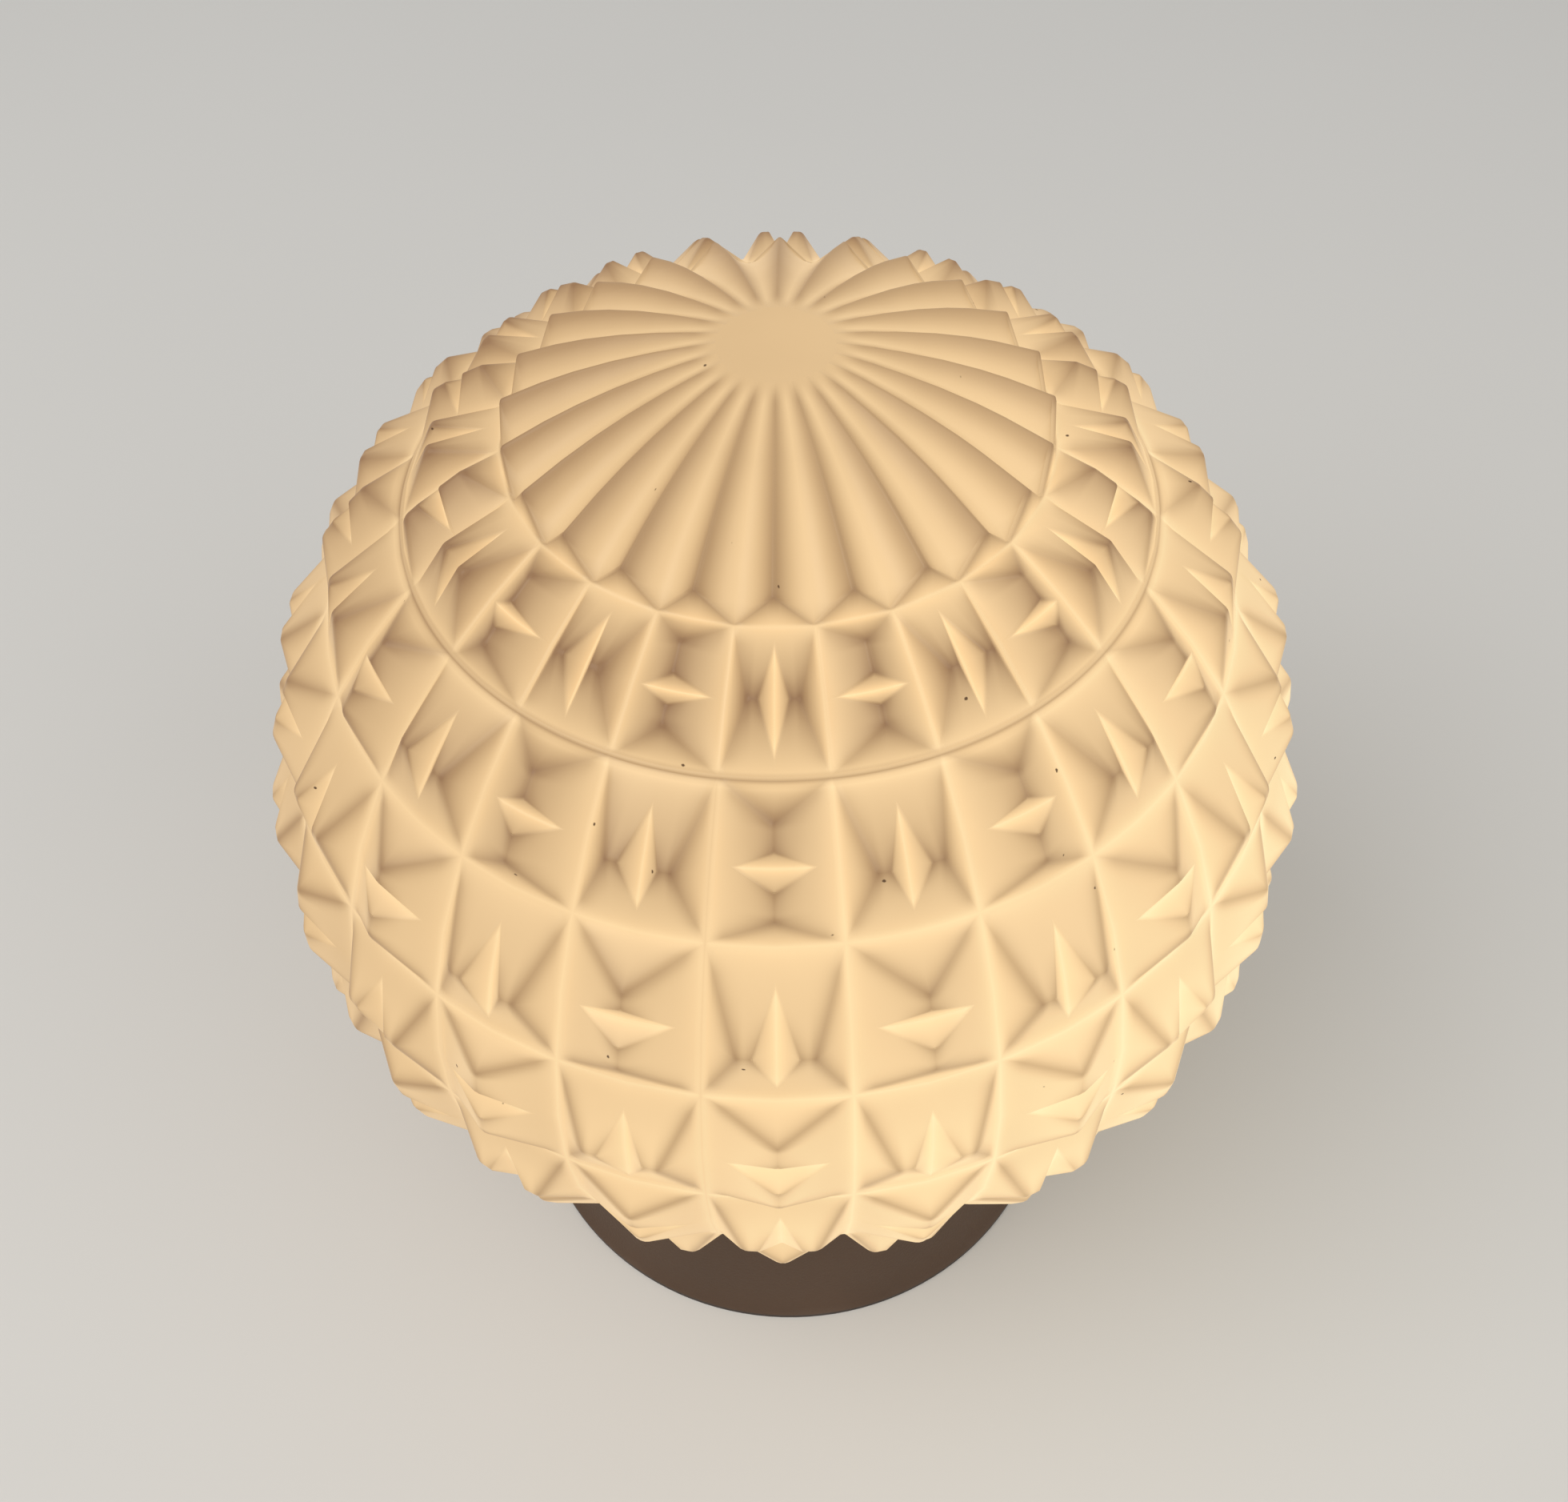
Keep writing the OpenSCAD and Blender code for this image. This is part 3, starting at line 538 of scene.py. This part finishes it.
# Shade of the bead, of the thin line under it and of the upright seam, and the light below that line
BEAD_DARK = 0.12
BEAD_FADE = (0.0009, 0.0003)
UNDER_DARK = 0.3
UNDER_REACH = 0.00032
BELOW_LIGHT = 0.07
BELOW_PLACE, BELOW_REACH = 0.0014, 0.0006
SEAM_DARK = 0.12
SEAM_REACH = 0.00025
SEAM_START = 0.02

# The glass is lit more on its right, and least low down on its left
RIGHT_LIGHT = 0.15
LEFT_DARK = 0.13
LEFT_FADE = (math.radians(66), math.radians(86))


def globe_light(place):
    """How bright the lit glass is: least on the high edges of the cap, most in the lower grooves."""
    centred = place.node("VectorMath", {"operation": "SUBTRACT"}, {0: place, 1: (0, 0, globe_z)})
    radius = place.node("VectorMath", {"operation": "LENGTH"}, {0: centred}, out="Value")
    right, back, up = [centred.axis(number) for number in range(3)]
    polar = (up / radius).math("ARCCOSINE")
    column = right.math("ARCTAN2", back * -1) / COLUMN
    nearest = column.math("ROUND")
    u = abs(column - nearest) * 2
    half_w = polar.math("SINE") * (GROOVE_R * COLUMN / 2)

    # The row of facets and the way down it. Each half row has its facets' width over their height, its
    # notch floor, its upright hips and how low its lying ridges hang
    row = 0
    ring = CAP_ANGLE
    stops = []
    facets = zip(ROW_STEPS, NOTCH_FLOORS, UPRIGHT_HIPS, RIDGE_DROPS)
    for number, (step, floor, hips, drop) in enumerate(facets):
        row = row + polar.share(ring, ring + step)
        aspect = math.sin(ring + step / 2) * COLUMN / step
        stops += [((2 * number + half) / TABLE_ROWS, (aspect, floor, hips[half], drop)) for half in range(2)]
        ring += step
    half_row = (row * UNDER_TWO).math("FLOOR")
    number = (half_row / 2).math("FLOOR")
    signed = (row - number) * 2 - 1
    v = abs(signed)
    table = {"stops": stops, "steps": "CONSTANT"}
    look_up = {0: (half_row + 0.5) / TABLE_ROWS}
    facts = place.node("ValToRGB", table, look_up)
    drop = place.node("ValToRGB", table, look_up, out="Alpha")
    aspect, floor, upright_hip = [facts.axis(number) for number in range(3)]
    upright = (number + nearest).math("FLOORED_MODULO", 2)
    lower = polar.share(UPPER_ROWS, LOWER_ROWS)

    def by_turn(lying, standing):
        return (standing - lying) * upright + lying

    def by_row(top, bottom):
        return top + (bottom - top) * lower

    # The facet as a hipped roof, in half facet widths
    cross = by_turn(aspect, 1)
    slope = by_turn(((1 + signed) / (1 + drop)).least((1 - signed) / (1 - drop)), 1 - u)
    hip_run = by_turn(HIP_SHARE, upright_hip)
    hip = by_turn(1 - u, (1 - v) / aspect) / hip_run
    along = by_turn(u, v / aspect)
    hip_line = abs(slope - hip) * half_w / (1 / (hip_run * hip_run) + cross * cross).math("SQRT")
    hips = (hip_line / by_row(*HIP_REACH)).math("POWER", BLUNT).glow(1)
    hips = hips * slope.least(hip).fade(*HIP_FOOT) * hip.fade(*HIP_TOP)
    beside = (1 - slope) * half_w / cross
    beyond = (1 - hip).most(0) * hip_run * half_w
    ridge = (beside * beside + beyond * beyond).math("SQRT").glow(RIDGE_REACH)

    # The notch across the ridge
    tip = 1 - floor
    notch = along / NOTCH_SHARE + (1 - slope) / tip
    lip = (1 - notch) * half_w / (1 / NOTCH_SHARE**2 + (cross / tip) * (cross / tip)).math("SQRT")
    inside = lip.fade(*NOTCH_EDGE)
    lips = (abs(lip) * (1 + inside)).glow(LIP_REACH) * slope.fade(*LIP_FADE)
    valley = (along * half_w).glow(VALLEY_REACH) * inside
    tall = slope.least(hip).least(1).least(floor + tip * along / NOTCH_SHARE)
    groove = (half_w * (1 - u)).least(half_w / aspect * (1 - v)).glow(GROOVE_REACH)

    # Upper facets darken with their height. Lower ones are bright all over, with dark folds
    roof = by_row(*FACET_LIGHT) + tall * by_row(*HEIGHT_LIGHT) + by_row(*GROOVE_LIGHT) * groove
    roof = roof + by_row(*VALLEY_LIGHT) * valley + by_row(*NOTCH_LIGHT) * inside
    folds = by_row(*HIP_DARK) * hips + by_row(*RIDGE_DARK) * ridge
    roof = roof - folds * (1 - inside) - by_row(*LIP_DARK) * lips

    # The cap's flutes, and the hips that end them
    fork = CAP_ANGLE - FLUTE_HIP / GROOVE_R
    deep = polar.fade(disc_angle, disc_angle + DISC_FADE)
    past = (polar - fork).most(0) * (CREST_END * GROOVE_R)
    across = u * half_w
    crest = (across * across + past * past).math("SQRT")
    crest_reach = (CREST_NARROW * half_w).least(CREST_REACH + CREST_SPREAD * half_w)
    crest = (crest / crest_reach).math("POWER", BLUNT).glow(1)
    fork_scale = (1 / (half_w * half_w) + 1 / FLUTE_HIP**2).math("SQRT")
    before = (fork - polar).most(0) * GROOVE_R
    hip_gap = abs((polar - fork) / (CAP_ANGLE - fork) - u) / fork_scale
    ends = (hip_gap * hip_gap + before * before).math("SQRT").glow(FORK_REACH)
    edge = (CREST_DARK + CREST_DARKER * polar / CAP_ANGLE) * crest
    end = FORK_DARK * ends
    cap_ring = (abs(CAP_ANGLE - polar) * GROOVE_R).glow(GROOVE_REACH)
    shade = edge.most(end) + BOTH_DARK * edge.least(end)
    flutes = DISC_LIGHT + deep * (FLUTE_LIGHT - shade) + CAP_RING_LIGHT * cap_ring

    # The plain shoulder and neck, and the lines of the mould's seams
    on_cap = polar.fade(CAP_ANGLE + CAP_FADE, CAP_ANGLE - CAP_FADE)
    plain = polar.fade(ring - SHOULDER_FADE, ring + SHOULDER_FADE)
    light = roof + (flutes - roof) * on_cap
    down = place.axis(2).share(glass_low.z + NECK_LONG, glass_low.z)
    turns = (right * right + back * back).math("SQRT")
    turns = turns.share(NECK_THREAD - GLASS_THREAD_DEPTH, NECK_THREAD + GLASS_THREAD_DEPTH)
    light = light + (SHOULDER_LIGHT - down * (NECK_DARK - TURN_LIGHT * turns) - light) * plain
    under_bead = (polar - seam_angle) * GROOVE_R
    light = light - BEAD_DARK * abs(under_bead).fade(*BEAD_FADE)
    light = light - UNDER_DARK * abs(under_bead - UNDER_REACH).glow(UNDER_REACH)
    light = light + BELOW_LIGHT * abs(under_bead - BELOW_PLACE).glow(BELOW_REACH)
    turned = right * math.cos(SEAM_TURN) + back * math.sin(SEAM_TURN)
    seam_run = polar.fade(seam_angle, seam_angle + SEAM_START) * (1 - plain)
    light = light - SEAM_DARK * abs(turned).glow(SEAM_REACH) * seam_run
    far_left = right.least(0) * polar.fade(*LEFT_FADE)
    return light + (RIGHT_LIGHT * right + LEFT_DARK * far_left) / GROOVE_R


LIT = [(0, colour(151, 116, 83)), (0.25, colour(180, 146, 106)), (0.5, colour(212, 178, 132)),
       (0.75, colour(243, 208, 157)), (0.88, colour(254, 224, 171)), (1, colour(255, 240, 187))]
LIT_CLOUD = 0.02
LIT_CLOUD_SHARE = 0.08
GLOW_BASE_SHARE = 0.34
SEEDS_APART = 0.006
SEED_R = 0.00034
SEEDS_KEPT = 0.5
SEED_SHARE = 0.9
SEED_BROWN = colour(70, 44, 26)
GLASS_SMEAR = 0.006
pressed_glass, shader, place = new_finish("pressed_glass", Specular_IOR_Level=0.2, Emission_Strength=0.72)
light = globe_light(place) + (place.noise(LIT_CLOUD) - 0.5) * LIT_CLOUD_SHARE
lit = place.node("ValToRGB", {"stops": LIT}, {0: light})
seeds = place.specks(SEEDS_APART, SEED_R, SEEDS_KEPT)
lit = (SEED_SHARE * seeds).mix(lit, SEED_BROWN)
# The base colour is the painted glow, with its painted light and shade, dimmed to a share.
painted_glow_base = place.node("Mix", {"data_type": "RGBA", "blend_type": "MULTIPLY"},
                         {0: 1.0, 6: lit, 7: (GLOW_BASE_SHARE, GLOW_BASE_SHARE, GLOW_BASE_SHARE, 1)}, out=2)
feed(shader, Base_Color=painted_glow_base, Emission_Color=lit, Roughness=0.38 + 0.12 * place.noise(GLASS_SMEAR))
dress(globe, pressed_glass, "glass", "pressed_glass", "glass_globe", smooth=45)
modify(globe, "WEIGHTED_NORMAL", keep_sharp=True)


# Bulb: a frosted glass envelope with a glowing coil inside, cemented in a screw cap of thin sheet metal.
# A solder tip in black glass is its centre contact, and a glass stem carries the wires to the coil.

CAP_R = 0.0129
CAP_SHEET = 0.0004
CAP_THREAD = 0.01265
CAP_THREAD_TOP = 0.0435
CAP_HEEL = 0.0015
cap_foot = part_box("bulb_cap")[0].z
cap = workpiece("bulb_cap", "threaded_cap")
for sheet in (0, CAP_SHEET):
    roll_thread(cap, CAP_R - sheet, cap_foot + CAP_HEEL, CAP_THREAD_TOP, CAP_THREAD - sheet,
                BULB_THREAD_DEPTH, BULB_PITCH, root=-1, cuts=44)
cap_metal = metal("cap_metal", (150, 150, 148), (206, 206, 202), rough=0.3, grit=0.0005)
dress(cap, cap_metal, "bulb", "cap_metal", "bulb_cap", smooth=40)
coat(metal("solder", (118, 118, 120), (176, 176, 178), rough=0.42, grit=0.0003), "bulb_tip")
STREAK_SIZE = 0.003
STREAK_BLACK, STREAK_GREY = colour(22, 20, 24), colour(46, 42, 50)
black_glass, shader, place = new_finish("black_glass", Coat_Weight=0.6, Coat_Roughness=0.08)
streaks = place.noise(STREAK_SIZE, detail=5)
feed(shader, Base_Color=streaks.mix(STREAK_BLACK, STREAK_GREY), Roughness=0.16 + 0.14 * streaks)
coat(black_glass, "bulb_insulator")

FROST_SIZE = 0.0007
FROST_DEEP = 0.00003
FROST_DARK, FROST_PALE = colour(140, 132, 118), colour(168, 160, 146)
GLOW_FADE = (0.06, 0.005)
GLOW_DIM, GLOW_BRIGHT = colour(214, 178, 128), colour(255, 238, 200)
filament_low, filament_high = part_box("filament")
filament_z = (filament_low.z + filament_high.z) / 2
envelope = workpiece("bulb_envelope", "frosted_envelope")
bulb_glass, shader, place = new_finish("bulb_glass", Specular_IOR_Level=0.3, Emission_Strength=0.7)
frost = place.noise(FROST_SIZE, detail=6)
glow_share = abs(place.axis(2) - filament_z).fade(*GLOW_FADE) * (0.94 + 0.12 * frost)
feed(shader, Base_Color=frost.mix(FROST_DARK, FROST_PALE), Roughness=0.4 + 0.2 * frost,
     Emission_Color=glow_share.mix(GLOW_DIM, GLOW_BRIGHT), Normal=place.bump(frost, FROST_DEEP))
dress(envelope, bulb_glass, "bulb", "bulb_glass", "bulb_envelope")

STEM_RIPPLE = 0.003
STEM_GREEN, STEM_CLEAR = colour(206, 216, 208), colour(228, 234, 228)
stem_glass, shader, place = new_finish("stem_glass", Transmission_Weight=0.7, IOR=1.5)
ripple = place.noise(STEM_RIPPLE)
feed(shader, Base_Color=ripple.mix(STEM_GREEN, STEM_CLEAR), Roughness=0.05 + 0.1 * ripple)
coat(stem_glass, "bulb_stem")
coat(metal("lead_metal", (158, 148, 136), (200, 192, 182), rough=0.34, grit=0.0003),
     "lead_wires", "filament_supports")

# The coil: one turn of wire screwed on along a straight line, then laid round the filament's half circle,
# which mirrors it, so its faces are turned outwards again
COIL_R = 0.00032
COIL_WIRE = 0.00008
COIL_TURNS = 90
TURN_STEPS = 10
WIRE_SIDES = 5
arc_r = (filament_high.x - filament_low.x - filament_high.z + filament_low.z) / 2
bpy.ops.object.select_all(action="DESELECT")
bpy.ops.mesh.primitive_circle_add(vertices=WIRE_SIDES, radius=COIL_WIRE, rotation=(math.pi / 2, 0, 0),
                                  location=(COIL_R, 0, 0))
coil = bpy.context.object
coil.name = "wound_filament"
bpy.ops.object.transform_apply()
modify(coil, "SCREW", axis="Z", screw_offset=math.pi * arc_r / COIL_TURNS, iterations=COIL_TURNS,
       steps=TURN_STEPS, render_steps=TURN_STEPS, use_merge_vertices=True)
pick(coil, "edges", lambda edge: True)
bpy.ops.mesh.fill_holes(sides=WIRE_SIDES)
bpy.ops.object.mode_set(mode="OBJECT")
for point in coil.data.vertices:
    turn = point.co.z / arc_r
    reach = arc_r + point.co.x
    point.co = (reach * math.cos(turn), reach * math.sin(turn), filament_z + point.co.y)
pick(coil, "polygons", lambda face: True)
bpy.ops.mesh.normals_make_consistent(inside=False)
bpy.ops.object.mode_set(mode="OBJECT")
tungsten = metal("tungsten", (96, 94, 92), (146, 142, 138), rough=0.4, grit=0.0002)
dress(coil, tungsten, "bulb", "tungsten", "filament", smooth=60)


# Stage: a plain pale floor under soft studio light, from an even sky and two large lamps. The camera is
# where the photo was taken from.

FLOOR_SIZE = 6
FLOOR_CLOUD = 0.4
FLOOR_DARK, FLOOR_PALE = colour(212, 209, 203), colour(218, 215, 209)
bpy.ops.object.select_all(action="DESELECT")
bpy.ops.mesh.primitive_plane_add(size=FLOOR_SIZE)
floor = bpy.context.object
floor.name = "floor"
floor_paint, shader, place = new_finish("floor_paint", Roughness=0.8, Specular_IOR_Level=0.2)
feed(shader, Base_Color=place.noise(FLOOR_CLOUD).mix(FLOOR_DARK, FLOOR_PALE))
floor.data.materials.append(floor_paint)

SKY_COLOUR = (0.95, 0.97, 1.0, 1)
SKY_STRENGTH = 0.5
LAMPS = (("key", (-0.9, -0.6, 1.5), 1.2, 16), ("fill", (1.2, -0.9, 1.1), 1.4, 8))
scene = bpy.context.scene
scene.view_settings.view_transform = "Standard"
scene.world = bpy.data.worlds.new("studio")
scene.world.use_nodes = True
sky = scene.world.node_tree.nodes["Background"].inputs
sky["Color"].default_value = SKY_COLOUR
sky["Strength"].default_value = SKY_STRENGTH
for name, spot, size, watts in LAMPS:
    bpy.ops.object.light_add(type="AREA", location=spot)
    lamp = bpy.context.object
    lamp.name = name
    lamp.data.size = size
    lamp.data.energy = watts
    lamp.rotation_euler = (centre - lamp.location).to_track_quat("-Z", "Y").to_euler()

PHOTO_FOCUS = 2053 / 1960
SENSOR = 36
CAMERA_FAR = 0.29992
PITCH = math.radians(50.984)
ROLL = math.radians(-1.185)
TURN = math.radians(1.39)
AIM_OFF = Vector((-0.00006, 0, -0.00084))
NEAREST_SEEN = 0.01
bpy.ops.object.camera_add()
camera = bpy.context.object
camera.data.sensor_width = SENSOR
camera.data.lens = SENSOR * PHOTO_FOCUS
camera.data.clip_start = NEAREST_SEEN
away = CAMERA_FAR * Vector((0, -math.cos(PITCH), math.sin(PITCH)))
camera.matrix_world = (Matrix.Rotation(TURN, 4, "Z") @ Matrix.Translation(centre + AIM_OFF + away)
                       @ Matrix.Rotation(math.pi / 2 - PITCH, 4, "X") @ Matrix.Rotation(ROLL, 4, "Z"))
scene.camera = camera
